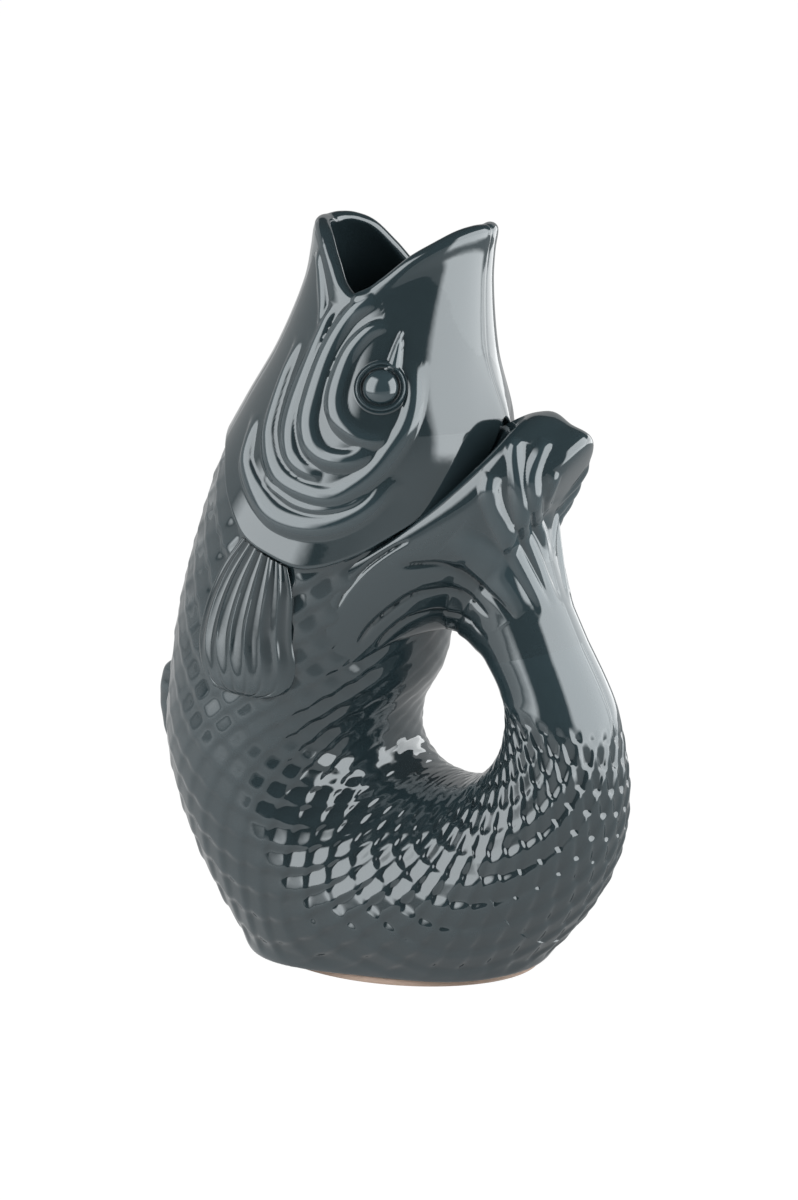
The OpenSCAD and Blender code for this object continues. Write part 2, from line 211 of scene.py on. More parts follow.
@dataclass(frozen=True)
class FishForm:
    """Skin of the fish as sections from its mouth to its tail, fanned round the grip hole.

    A place on the skin is a section, counted from the mouth, and an angle round it from the
    back, 0, over the left side to the front, 180.
    """

    length: float = 160 * MM
    height: float = 250 * MM
    width: float = 104 * MM
    wall: float = 4.5 * MM
    foot_height: float = 2.5 * MM
    tail_section: float = 15
    angle_step: float = 15
    section_shares: tuple = (
        (-0.133, 1.056, 0.199, 1.056, 0.192), (-0.186, 0.988, 0.204, 0.996, 0.226),
        (-0.208, 0.920, 0.193, 0.920, 0.264), (-0.261, 0.840, 0.199, 0.828, 0.327),
        (-0.334, 0.760, 0.228, 0.736, 0.389), (-0.403, 0.672, 0.199, 0.640, 0.428),
        (-0.451, 0.580, 0.152, 0.548, 0.457), (-0.489, 0.484, 0.090, 0.456, 0.481),
        (-0.511, 0.388, 0.060, 0.390, 0.495), (-0.517, 0.284, 0.010, 0.336, 0.500),
        (-0.464, 0.164, 0.002, 0.290, 0.495), (-0.362, 0.038, 0.042, 0.264, 0.484),
        (-0.226, -0.056, 0.089, 0.256, 0.476), (0.017, -0.056, 0.124, 0.254, 0.452),
        (0.227, -0.032, 0.171, 0.260, 0.413), (0.384, 0.050, 0.217, 0.280, 0.351),
        (0.486, 0.152, 0.249, 0.312, 0.284), (0.516, 0.260, 0.257, 0.352, 0.231),
        (0.485, 0.368, 0.244, 0.392, 0.192), (0.416, 0.460, 0.209, 0.427, 0.173))
    mouth_shares: tuple = (
        0.991, 0.991, 0.986, 0.973, 0.955, 0.927, 0.904, 0.918, 0.950, 0.977, 0.988, 0.991, 0.990)
    gill_sections: tuple = (
        3.82, 4.45, 4.90, 5.30, 5.71, 5.92, 5.82, 5.62, 5.20, 4.75, 4.53, 4.46, 4.45)
    gill_lip: float = 2 * MM
    gill_lip_shares: tuple = (1, 1, 1, 1, 1, 1, 1, 1, 1, 0.8, 0.6, 0.45, 0.4)
    smooth_head_share: float = 0.6

    def sized(self, shares: Any) -> Points:
        """Shares of the jug's length, height and width as metres."""
        size = [self.length, self.height, self.length, self.height, self.width]
        return np.asarray(shares, float) * size

    def oval(self, section: Points, angle: Any, depth: Any = 0.0) -> Points:
        """Points of oval sections, with a wall's depth taken off all round.

        Args:
            section: x and z of the front, x and z of the back, and half the width.
            angle: angles round the sections, in degrees.
            depth: how far below the outside the points lie.

        Returns:
            The points.
        """
        half = (section[..., 2:4] - section[..., 0:2]) / 2
        middle = (section[..., 2:4] + section[..., 0:2]) / 2
        turn = np.radians(angle)
        reach = (1 - depth / np.linalg.norm(half, axis=-1)) * np.cos(turn)
        return np.stack([
            middle[..., 0] + half[..., 0] * reach,
            -(section[..., 4] - depth) * np.sin(turn),
            middle[..., 1] + half[..., 1] * reach], -1)

    def skin(self, section: Any, angle: Any, depth: Any = 0.0) -> Points:
        """Points of the skin, or of a face below it, cut flat above the foot.

        Args:
            section: sections counted from the mouth.
            angle: angles from the back, in degrees.
            depth: how far below the skin the points lie.

        Returns:
            The points.
        """
        section, angle, depth = np.broadcast_arrays(
            *[np.asarray(v, float) for v in (section, angle, depth)])
        p = self.oval(spline(self.sized(self.section_shares), section), angle, depth)
        p[..., 2] = np.maximum(p[..., 2], self.foot_height + np.maximum(depth, 0))
        return p

    def raised(self, section: Any, angle: Any, rise: Any) -> Points:
        """Points raised off the skin along its own slope.

        Args:
            section: sections counted from the mouth.
            angle: angles from the back, in degrees.
            rise: how far the points stand off the skin.

        Returns:
            The points.
        """
        section, angle = np.broadcast_arrays(np.asarray(section, float), np.asarray(angle, float))
        out = units(np.cross(self.across(section, angle), self.along(section, angle)))
        return self.skin(section, angle) + out * np.asarray(rise, float)[..., None]

    def along(self, section: Any, angle: Any, step: float = 0.01) -> Points:
        """How far the skin goes on in one section, found over a small step both ways."""
        return (self.skin(section + step, angle) - self.skin(section - step, angle)) / (2 * step)

    def across(self, section: Any, angle: Any, step: float = 0.5) -> Points:
        """How far the skin goes on in one degree, found over a small step both ways."""
        return (self.skin(section, angle + step) - self.skin(section, angle - step)) / (2 * step)

    def by_angle(self, rows: Any, angle: Any) -> Points:
        """Value of a table that has a row for every angle_step degrees."""
        return spline(rows, folded(angle) / self.angle_step, True)

    def gill_place(self, angle: Any) -> Points:
        """Section that the gill edge crosses."""
        return self.by_angle(self.gill_sections, angle)

    def mouth_place(self, angle: Any) -> Points:
        """Section at which the skin reaches the mouth's edge.

        Args:
            angle: angles from the back, in degrees.

        Returns:
            A section for each angle, found step by step from the first one.
        """
        height = self.by_angle(self.mouth_shares, angle) * self.height
        place, step, tries = np.ones_like(height), 0.01, 24
        for _ in range(tries):
            here = self.skin(place, angle)[..., 2]
            slope = (self.skin(place + step, angle)[..., 2] - here) / step
            place = place + (height - here) / slope
        return place


FISH = FishForm()


@dataclass(frozen=True)
class TailFinForm:
    """Surface of the tail's two lobes, from their roots on the body to the tail.

    Attributes:
        lobe_shares: sections from the tail to the roots, as the fish's own.
        root_places: section and angle of the roots on the skin, for every angle_step degrees.
        sink: how far the roots reach into the body.
    """

    lobe_shares: tuple = (
        (0.485, 0.368, 0.244, 0.392, 0.192), (0.416, 0.460, 0.209, 0.427, 0.173),
        (0.359, 0.544, 0.186, 0.436, 0.166), (0.341, 0.616, 0.164, 0.445, 0.163),
        (0.361, 0.648, 0.146, 0.451, 0.166), (0.427, 0.724, 0.138, 0.455, 0.183),
        (0.377, 0.748, 0.124, 0.457, 0.212), (0.308, 0.760, 0.111, 0.458, 0.264))
    root_places: tuple = (
        (6.97, 0), (7.04, 18), (7.18, 31), (7.38, 41), (7.25, 49), (6.75, 58.5), (6.20, 60.5),
        (5.82, 56), (5.53, 47), (5.23, 37), (4.92, 24), (4.50, 11), (4.03, 0))
    sink: float = 1.2 * MM

    def points(self, t: Any, angle: Any) -> Points:
        """Points of the lobes' outside on the left.

        Args:
            t: share of the way from the roots to the tail.
            angle: angle round the lobes, 0 to 180.

        Returns:
            A point for each pair.
        """
        t, angle = np.broadcast_arrays(np.asarray(t, float), np.asarray(angle, float))
        places = FISH.by_angle(self.root_places, angle)
        root = FISH.raised(places[..., 0], places[..., 1], np.full(angle.shape, -self.sink))
        lobes = FISH.sized(self.lobe_shares)[::-1]
        rows = np.stack([root] + [
            FISH.oval(np.broadcast_to(s, angle.shape + (5,)), angle) for s in lobes])
        last = len(rows) - 2
        place = t * last
        i = np.clip(np.floor(place).astype(int), 0, last + 1)
        f = (place - i)[..., None]

        def row(k: Points) -> Points:
            """Points of the given rows.

            Args:
                k: a row for each angle.

            Returns:
                The point that each row has at its angle.
            """
            index = np.clip(k, 0, last + 1)[None, ..., None]
            index = np.broadcast_to(index, (1,) + angle.shape + (3,))
            return np.take_along_axis(rows, index, 0)[0]

        return curve_between(row(i - 1), row(i), row(i + 1), row(i + 2), f)


LOBES = TailFinForm()


# Relief

def line_distance(points: Points, line: Points) -> tuple[Points, Points]:
    """Distance of points to a line of points.

    Args:
        points: any shape of points.
        line: points along the line.

    Returns:
        The distance of each point, and how far along the line its nearest place is.
    """
    flat = points.reshape(-1, 3)
    best, place = np.full(len(flat), np.inf), np.zeros(len(flat))
    lengths = np.linalg.norm(np.diff(line, axis=0), axis=1)
    start = 0.0
    for a, b, length in zip(line[:-1], line[1:], lengths):
        edge = b - a
        share = np.clip((flat - a) @ edge / max(length * length, 1e-12), 0, 1)
        gap = np.linalg.norm(flat - (a + share[:, None] * edge), axis=1)
        nearer = gap < best
        best = np.where(nearer, gap, best)
        place = np.where(nearer, start + share * length, place)
        start += length
    return best.reshape(points.shape[:-1]), place.reshape(points.shape[:-1])


class Profile(Enum):
    """Cross-sections of a modelled line."""

    ROLL = "rounded roll with a crease on both sides"
    GROOVE = "sharp groove between rounded shoulders"


@dataclass(frozen=True)
class Stroke:
    """A roll or groove that is modelled along a line on a surface.

    Attributes:
        line: places on the surface that the line passes through.
        rise: height of the roll, or depth of the groove, in mm.
        reach: half width, from the line's start, over its middle, to its end, in mm.
        fade: length over which the ends run out, at the start and at the end, in mm.
        profile: its cross-section.
    """

    line: Line
    rise: float
    reach: tuple = (2.5, 2.5, 2.5)
    fade: tuple = (8, 8)
    profile: Profile = Profile.ROLL

    def relief(self, points: Points, place: Callable[[Points, Points], Points]) -> Points:
        """Height of the stroke at points of a surface.

        Args:
            points: points of the surface.
            place: gives the surface's points for pairs of the line's values.

        Returns:
            Heights in metres. A roll goes on below zero outside its reach.
        """
        knots = place(*np.asarray(self.line, float).T)
        steps, far = 8, 3
        line = spline(knots, np.linspace(0, len(knots) - 1, steps * len(knots)))
        gap, along = line_distance(points, line)
        total = np.linalg.norm(np.diff(line, axis=0), axis=1).sum()
        reach = spline(np.asarray(self.reach, float) * MM, 2 * along / total)
        ends = np.minimum(along / (self.fade[0] * MM), (total - along) / (self.fade[1] * MM))
        level = self.rise * MM * np.sqrt(ease(ends, 0, 1))
        side = gap / reach
        if self.profile is Profile.GROOVE:
            return -level * np.clip(1 - side, 0, 1) ** 2
        near = level * (1 - side**2) - (level <= 0) * MM
        return np.where(side < far, near, -self.rise * (far**2 - 1) * MM)


def modelled(points: Points, strokes: Sequence[Stroke], place: Callable[[Points, Points], Points],
             soft: float = 0.14 * MM) -> Points:
    """Height of strokes that are modelled on one surface.

    Args:
        points: points of the surface.
        strokes: the rolls and grooves.
        place: gives the surface's points for pairs of the lines' values.
        soft: how softly rolls meet each other and the surface.

    Returns:
        Heights in metres.
    """
    total, cut = np.ones(points.shape[:-1]), np.zeros(points.shape[:-1])
    limit = 60
    for stroke in strokes:
        height = stroke.relief(points, place)
        if stroke.profile is Profile.ROLL:
            total += np.exp(np.clip(height / soft, -limit, limit))
        else:
            cut = cut + height
    return soft * np.log(total) + cut


@dataclass(frozen=True)
class Scales:
    """Overlapping scales, in rows that are staggered by half a scale.

    Attributes:
        around: scales in a row all round.
        rise: height that the other shares are of.
        edge: width over which a scale's free edge drops to the next scale.
        roundness: shape of the free edge, from 1 for a diamond.
        tilt: share of the rise by which a scale drops in one row, away from its free edge.
        arch: share of the rise by which a scale drops to its sides.
        passes: how often the glaze has blended their heights.
        first: section from which the rows are counted.
        row_step: sections from the first row to the second.
        row_growth: how much further apart each row is than the one before.
        dish_angles: angles over which domed scales give way to dished ones.
        dish_sections: sections over which dished scales give way to domed ones.
        wear: share of the height that is worn off in the middle of the flank.
        wear_angles: middle and half width of the worn flank.
        wear_starts: sections over which the worn flank begins.
        wear_ends: sections over which the worn flank ends.
        foot_heights: heights in mm over which the scales begin above the foot.
        gill_sections: sections over which they begin behind the gill edge.
        fin_sections: sections over which they end under the tail fin.
        back_angles: angles over which they grow down from the back.
        back_share: share of their height on the back.
    """

    around: int = 22
    rise: float = 1.6 * MM
    edge: float = 2.6 * MM
    roundness: float = 1.8
    tilt: float = 0.60
    arch: float = 0.42
    passes: int = 3
    first: float = 3.8
    row_step: float = 0.24
    row_growth: float = 0.00127
    dish_angles: tuple = (108, 130)
    dish_sections: tuple = (9, 10.5)
    wear: float = 0.5
    wear_angles: tuple = (92, 32)
    wear_starts: tuple = (6.2, 7)
    wear_ends: tuple = (9.5, 11.5)
    foot_heights: tuple = (3, 8)
    gill_sections: tuple = (0, 0.12)
    fin_sections: tuple = (17.4, 18)
    back_angles: tuple = (18, 42)
    back_share: float = 0.25

    def row_place(self, section: Points) -> Points:
        """Rows of scales at sections, a little further apart toward the tail.

        Args:
            section: sections counted from the mouth.

        Returns:
            Rows counted from the first.
        """
        over = np.maximum(np.asarray(section, float) - self.first, -self.first)
        room = self.row_step**2 + 2 * self.row_growth * over
        return (np.sqrt(np.maximum(room, 0)) - self.row_step) / self.row_growth

    def relief(self, section: Points, angle: Points, row_length: Points, width: Points) -> Points:
        """Height of the scales, 0 on their crests and less elsewhere.

        Args:
            section: sections of the places.
            angle: angles of the places.
            row_length: length of one row at each place, in metres.
            width: width of one scale at each place, in metres.

        Returns:
            Heights in metres, none above 0.
        """
        row = self.row_place(section)
        column = angle / 360 * self.around
        n = np.floor(row)
        across = [column - np.round(column - 0.5 * (k % 2)) - 0.5 * (k % 2) for k in (n, n + 1)]
        tips = [1 - np.abs(2 * x) ** self.roundness for x in across]
        over = tips[0] - (row - n)
        under = tips[1] + 1 - (row - n)
        lean = 2 * self.roundness * np.abs(2 * across[0]) ** (self.roundness - 1) / width
        inside = over / np.hypot(1 / row_length, lean)
        hollow = ease(angle, *self.dish_angles) * ease(section, *reversed(self.dish_sections))

        def face(q: Points, x: Points) -> Points:
            """Height of one scale.

            Args:
                q: rows from its free edge.
                x: shares of its width from its middle.

            Returns:
                Shares of the rise, of a domed scale or, down the belly's front, a dished one.
            """
            pillow = 1 - self.tilt * q - self.arch * (2 * x) ** 2
            dish = 0.45 + 0.55 * np.exp(-(q / 0.5) ** 2) - 0.1 * (2 * x) ** 2
            return pillow * (1 - hollow) + dish * hollow

        cover = ease(inside / self.edge, 0, 1)
        height = cover * face(over, across[0]) + (1 - cover) * face(under, across[1])
        return (np.minimum(height, 1) - 1) * self.rise

    def share(self, section: Points, angle: Points, points: Points) -> Points:
        """How much of the scales' height is left.

        Args:
            section: sections of the points.
            angle: angles of the points.
            points: the points.

        Returns:
            Shares that are smaller on the flank and the back, and 0 at the scales' ends.
        """
        middle, width = self.wear_angles
        worn = self.wear * np.exp(-((angle - middle) / width) ** 2)
        flank = 1 - worn * band(section, self.wear_starts, self.wear_ends)
        bottom = ease(points[..., 2] / MM, *self.foot_heights)
        gill = ease(np.abs(section - FISH.gill_place(angle)), *self.gill_sections)
        top = ease(section, *reversed(self.fin_sections))
        back = self.back_share + (1 - self.back_share) * ease(angle, *self.back_angles)
        return flank * bottom * gill * top * back


SCALES = Scales()


@dataclass(frozen=True)
class Seam:
    """Fine line that the mould's joint leaves on the jug's middle plane."""

    sunk: float = 0.16 * MM
    half_width: float = 0.45 * MM

    def depth(self, points: Points, where: Points) -> Points:
        """How deep the line is at points, on the part of the surface where it shows."""
        return self.sunk * np.exp(-(points[..., 1] / self.half_width) ** 2) * where


SEAM = Seam()

# Folds of the left cheek, along sections and angles of the skin.
CHEEK: tuple[Stroke, ...] = (
    Stroke(((4.05, 128), (4.45, 123), (4.75, 118), (5.05, 107), (5.30, 95), (5.38, 83), (5.33, 72),
            (5.15, 63), (4.90, 57), (4.60, 54)), 1.7, (2.6, 4.6, 3.2), (14, 14)),
    Stroke(((2.80, 121), (3.40, 120), (4.10, 116), (4.40, 111), (4.65, 104), (4.83, 95), (4.93, 83),
            (4.92, 74), (4.75, 67), (4.53, 61.5), (4.25, 57.5), (3.90, 53), (3.50, 50),
            (3.00, 49.5)), 1.6, (2.4, 4.0, 3.4), (14, 14)),
    Stroke(((4.90, 105), (4.98, 97), (5.10, 87), (5.12, 77), (5.00, 66), (4.75, 59.5)), 1.0,
           (1.4, 2.0, 1.6), (8, 8)),
    Stroke(((2.25, 103), (2.55, 105), (2.95, 106.5), (3.40, 107), (3.80, 106.5), (4.15, 104),
            (4.45, 98), (4.62, 90), (4.68, 81)), 1.5, (2.2, 3.8, 3.0), (7, 10)),
    Stroke(((2.10, 79), (2.45, 92), (3.00, 98), (3.65, 98.5), (4.02, 96), (4.30, 89.5),
            (4.42, 81.5), (4.40, 72), (4.22, 64)), 1.8, (3.0, 4.4, 3.6), (8, 12)),
    Stroke(((2.46, 67), (2.58, 77), (2.88, 84.5), (3.28, 87), (3.62, 86.5), (3.88, 82),
            (4.05, 73.5), (4.10, 65), (4.02, 59)), 1.5, (2.4, 3.9, 2.8), (8, 10)),
    Stroke(((1.40, 133), (1.90, 121.5), (2.30, 112), (2.65, 107)), 1.2, (1.8, 2.4, 1.9), (6, 6)),
    Stroke(((2.55, 59.5), (2.78, 60), (2.96, 60.5), (3.12, 61)), 1.6, (0.5, 1.7, 2.6), (4, 1)),
)

# Section and angle of the left eye.
EYE_PLACE: tuple[float, float] = (3.35, 66)

# Rays of the lobes' left side, along shares of the way to the tail and angles.
LOBE_LINES: tuple[Stroke, ...] = (
    Stroke(((0.17, 122), (0.19, 113), (0.27, 106), (0.45, 99), (0.77, 131), (0.92, 150)), 1.7,
           (3.4, 4.0, 2.8), (6, 16)),
    Stroke(((0.19, 145), (0.20, 137), (0.32, 119.5), (0.45, 112), (0.76, 148), (0.92, 165)), 1.5,
           (2.8, 3.3, 2.4), (4, 20)),
    Stroke(((0.28, 156), (0.33, 130), (0.44, 121.5), (0.72, 162), (0.81, 172)), 1.3,
           (2.6, 3.0, 2.1), (4, 16)),
    Stroke(((0.43, 140), (0.51, 147), (0.60, 166)), 1.0, (2.2, 2.4, 1.8), (4, 10)),
    Stroke(((0.14, 90.5), (0.27, 84.5), (0.45, 82.5), (0.78, 111), (0.89, 121)), 1.5,
           (5.5, 8.0, 5.0), (10, 14)),
    Stroke(((0.08, 86), (0.10, 82.5), (0.135, 76), (0.25, 71), (0.51, 76), (0.81, 102),
            (0.90, 113)), 1.2, (2.4, 3.0, 2.4), (6, 10), Profile.GROOVE),
    Stroke(((0.03, 57.5), (0.056, 63.5), (0.08, 65.5), (0.106, 65.5), (0.15, 58.5), (0.33, 59.5),
            (0.64, 73), (0.82, 86)), 1.2, (2.4, 3.0, 2.4), (6, 10), Profile.GROOVE),
    Stroke(((0.108, 69), (0.15, 62), (0.31, 62.5)), 0.6, (0.9, 1.2, 0.9), (4, 6), Profile.GROOVE),
    Stroke(((0.042, 44), (0.066, 50.5), (0.094, 51.5), (0.13, 44.5), (0.31, 41), (0.71, 57),
            (0.89, 72)), 1.1, (2.2, 2.8, 2.2), (6, 10), Profile.GROOVE),
    Stroke(((0.016, 79), (0.026, 86.5), (0.04, 94.5), (0.06, 99.5), (0.078, 99.5)), 0.9,
           (1.3, 1.6, 1.2), (5, 6), Profile.GROOVE),
)


# Meshes

@contextmanager
def editing(piece: bpy.types.Object, whole: bool = True) -> Iterator[None]:
    """Holds a piece, and no other, open in edit mode.

    Args:
        piece: the piece.
        whole: whether all of it is selected, and not only what was before.

    Yields:
        Nothing, while the piece is open.
    """
    bpy.ops.object.select_all(action="DESELECT")
    piece.select_set(True)
    bpy.context.view_layer.objects.active = piece
    bpy.ops.object.mode_set(mode="EDIT")
    if whole:
        bpy.ops.mesh.select_all(action="SELECT")
    yield
    bpy.ops.object.mode_set(mode="OBJECT")


def primitive(add: Callable[..., Any], name: str, **sizes: Any) -> bpy.types.Object:
    """Adds a primitive as the only selected object.

    Args:
        add: the operator that adds it.
        name: its name.
        sizes: the operator's sizes and place.

    Returns:
        The new object.
    """
    bpy.ops.object.select_all(action="DESELECT")
    add(**sizes)
    piece = bpy.context.object
    piece.name = piece.data.name = name
    return piece


def modelled_sheet(name: str, points: Points, glaze: Points) -> bpy.types.Object:
    """A grid that is laid over points. Points that fall together are merged.

    Args:
        name: the piece's name.
        points: rows and columns of points, in metres.
        glaze: how thin the glaze lies at each point, kept for the finish.

    Returns:
        The piece.
    """
    rows, columns = points.shape[:2]
    piece = primitive(bpy.ops.mesh.primitive_grid_add, name, x_subdivisions=columns - 1,
                      y_subdivisions=rows - 1, size=1)
    piece.data.vertices.foreach_set("co", points.astype(np.float32).ravel())
    kept = piece.data.attributes.new("relief", "FLOAT", "POINT").data
    kept.foreach_set("value", glaze.astype(np.float32).ravel())
    with editing(piece):
        bpy.ops.mesh.remove_doubles(threshold=MERGE_DISTANCE)
    return piece


def close_and_smooth(piece: bpy.types.Object, cap: bool = False, smooth_angle: float = 50) -> None:
    """Turns a piece's faces outwards and smooths it.

    Args:
        piece: the piece.
        cap: whether its open edges are closed with a face first.
        smooth_angle: edges sharper than this stay sharp, in degrees.
    """
    with editing(piece):
        if cap:
            bpy.ops.mesh.select_all(action="DESELECT")
            bpy.ops.mesh.select_non_manifold(extend=False, use_wire=False, use_boundary=True,
                                             use_multi_face=False, use_non_contiguous=False,
                                             use_verts=False)
            bpy.ops.mesh.edge_face_add()
            bpy.ops.mesh.select_all(action="SELECT")
        bpy.ops.mesh.normals_make_consistent(inside=False)
    bpy.ops.object.shade_smooth_by_angle(angle=math.radians(smooth_angle))


def mirrored_copy(piece: bpy.types.Object, name: str) -> bpy.types.Object:
    """Copies a piece, with its own mesh, to the jug's other side.

    Args:
        piece: the piece on the left.
        name: the copy's name.

    Returns:
        The copy.
    """
    twin = piece.copy()
    twin.data = piece.data.copy()
    twin.name = twin.data.name = name
    bpy.context.collection.objects.link(twin)
    with editing(twin):
        bpy.ops.transform.resize(value=(1, -1, 1), center_override=(0, 0, 0))
        bpy.ops.mesh.normals_make_consistent(inside=False)
    return twin


def thickened(piece: bpy.types.Object, thickness: float) -> None:
    """Gives a sheet a wall below it.

    Args:
        piece: the sheet.
        thickness: the wall's thickness, in metres.
    """
    with editing(piece):
        bpy.ops.mesh.normals_make_consistent(inside=False)
    wall = piece.modifiers.new("wall", "SOLIDIFY")
    wall.thickness, wall.offset = thickness, -1
    bpy.ops.object.modifier_apply(modifier=wall.name)


def placed(piece: bpy.types.Object, slot: str, material: bpy.types.Material,
           *nodes: str) -> bpy.types.Object:
    """Dresses a piece, puts it in the solids' place and reports it.

    Args:
        piece: the finished piece.
        slot: the record's material slot; not used.
        material: its finish.
        nodes: the solids that it stands for.

    Returns:
        The piece.
    """
    piece.data.materials.clear()
    piece.data.materials.append(material)
    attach(piece, "root")
    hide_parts(*nodes)
    log.info("%s: %d faces, for %s", piece.name, len(piece.data.polygons), ", ".join(nodes))
    return piece


# Materials

class Socket:
    """Wraps a shader socket, so that shader maths is written as an expression."""

    def __init__(self, tree: "Graph", socket: bpy.types.NodeSocket) -> None:
        """Keeps the socket and the graph that it belongs to."""
        self.tree = tree
        self.socket = socket

    def _math(self, operation: str, first: Any, second: Any = 0.0) -> "Socket":
        """Adds a Math node."""
        return self.tree.node("ShaderNodeMath", {"operation": operation}, {0: first, 1: second})

    def __add__(self, other: Any) -> "Socket":
        """Sum."""
        return self._math("ADD", self, other)

    __radd__ = __add__

    def __mul__(self, other: Any) -> "Socket":
        """Product."""
        return self._math("MULTIPLY", self, other)

    __rmul__ = __mul__

    def __sub__(self, other: Any) -> "Socket":
        """Difference."""
        return self._math("SUBTRACT", self, other)

    def __rsub__(self, other: Any) -> "Socket":
        """Difference from a number."""
        return self._math("SUBTRACT", other, self)

    def clamped(self) -> "Socket":
        """The value kept between 0 and 1."""
        return self._math("MAXIMUM", self._math("MINIMUM", self, 1.0), 0.0)


class Graph:
    """Node graph of a material, a lamp or the world."""

    def __init__(self, owner: Any) -> None:
        """Starts an empty graph.

        Args:
            owner: the material, world or lamp that it belongs to.
        """
        owner.use_nodes = True
        self.nodes = owner.node_tree.nodes
        self.links = owner.node_tree.links
        self.nodes.clear()

    def node(self, kind: str, settings: Optional[dict] = None, inputs: Optional[dict] = None,
             output: Any = 0) -> Socket:
        """Adds a node.

        Args:
            kind: the node's type.
            settings: its properties, or the stops of a ramp under "stops".
            inputs: values or links of its sockets.
            output: which output is returned.

        Returns:
            The output, wrapped.
        """
        made = self.nodes.new(kind)
        for key, value in (settings or {}).items():
            if key == "stops":
                ramp = made.color_ramp
                while len(ramp.elements) < len(value):
                    ramp.elements.new(1.0)
                for element, (position, colour) in zip(ramp.elements, value):
                    element.position, element.color = position, colour
            else:
                setattr(made, key, value)
        for key, value in (inputs or {}).items():
            if isinstance(value, Socket):
                self.links.new(value.socket, made.inputs[key])
            else:
                made.inputs[key].default_value = value
        return Socket(self, made.outputs[output]) if len(made.outputs) else Socket(self, None)

    def mix(self, share: Any, first: Any, second: Any) -> Socket:
        """Mixes two colours."""
        inputs = {0: share, 6: first, 7: second}
        return self.node("ShaderNodeMix", {"data_type": "RGBA"}, inputs, output=2)

    def noise(self, place: Socket, scale: float, detail: float) -> Socket:
        """Noise over a piece."""
        inputs = {"Vector": place, "Scale": scale, "Detail": detail}
        return self.node("ShaderNodeTexNoise", None, inputs)

    def bump(self, strength: float, distance: float, height: Socket) -> Socket:
        """Normal of a fine relief."""
        inputs = {"Strength": strength, "Distance": distance, "Height": height}
        return self.node("ShaderNodeBump", None, inputs)


@dataclass(frozen=True)
class GlazeFinish:
    """Glossy dark blue-green grey glaze, thinner and lighter on crests, darker in hollows."""

    thick: tuple = (0.013, 0.022, 0.026, 1)
    middle: tuple = (0.020, 0.033, 0.038, 1)
    thin: tuple = (0.031, 0.052, 0.061, 1)
    stops: tuple = (0.12, 0.45, 0.95)
    relief_share: float = 0.75
    cloud_share: float = 0.35
    speck_share: float = 0.1
    cloud_scale: float = 22.0
    speck_scale: float = 420.0
    ripple_scale: float = 160.0
    ripple_share: float = 0.06
    ripple_height: float = 0.6 * MM
    roughness: float = 0.07
    roughness_range: float = 0.03
    ior: float = 1.65
    shine: float = 0.85
    tint: tuple = (0.91, 0.97, 1.0, 1)

    def material(self) -> bpy.types.Material:
        """Mixes the glaze.

        Returns:
            The finish as a material.
        """
        made = bpy.data.materials.new("dark_glaze")
        graph = Graph(made)
        place = graph.node("ShaderNodeTexCoord", output="Object")
        relief = graph.node("ShaderNodeAttribute", {"attribute_name": "relief"}, output="Fac")
        cloud = graph.noise(place, self.cloud_scale, 3.0)
        speck = graph.noise(place, self.speck_scale, 2.0)
        ripple = graph.noise(place, self.ripple_scale, 2.0)
        thin = relief * self.relief_share + cloud * self.cloud_share + speck * self.speck_share
        stops = tuple(zip(self.stops, (self.thick, self.middle, self.thin)))
        colour = graph.node("ShaderNodeValToRGB", {"stops": stops}, {"Fac": thin.clamped()})
        shade = graph.node("ShaderNodeBsdfPrincipled", None, {
            "Base Color": colour,
            "Roughness": cloud * self.roughness_range + (self.roughness - self.roughness_range / 2),
            "IOR": self.ior, "Specular IOR Level": self.shine, "Specular Tint": self.tint,
            "Normal": graph.bump(self.ripple_share, self.ripple_height, ripple)})
        graph.node("ShaderNodeOutputMaterial", None, {"Surface": shade})
        return made


@dataclass(frozen=True)
class ClayFinish:
    """Bare fired clay with a fine grain."""

    pale: tuple = (0.66, 0.51, 0.42, 1)
    dark: tuple = (0.50, 0.36, 0.28, 1)
    grain_scale: float = 900.0
    cloud_scale: float = 60.0
    grain_share: float = 0.35
    grain_height: float = 0.3 * MM

    def material(self) -> bpy.types.Material:
        """Mixes the clay.

        Returns:
            The finish as a material.
        """
        made = bpy.data.materials.new("bare_clay")
        graph = Graph(made)
        place = graph.node("ShaderNodeTexCoord", output="Object")
        grain = graph.noise(place, self.grain_scale, 4.0)
        cloud = graph.noise(place, self.cloud_scale, 3.0)
        share = (grain * 0.6 + cloud * 0.5 - 0.05).clamped()
        shade = graph.node("ShaderNodeBsdfPrincipled", None, {
            "Base Color": graph.mix(share, self.dark, self.pale), "Roughness": grain * 0.2 + 0.68,
            "Normal": graph.bump(self.grain_share, self.grain_height, grain)})
        graph.node("ShaderNodeOutputMaterial", None, {"Surface": shade})
        return made


# The jug's pieces

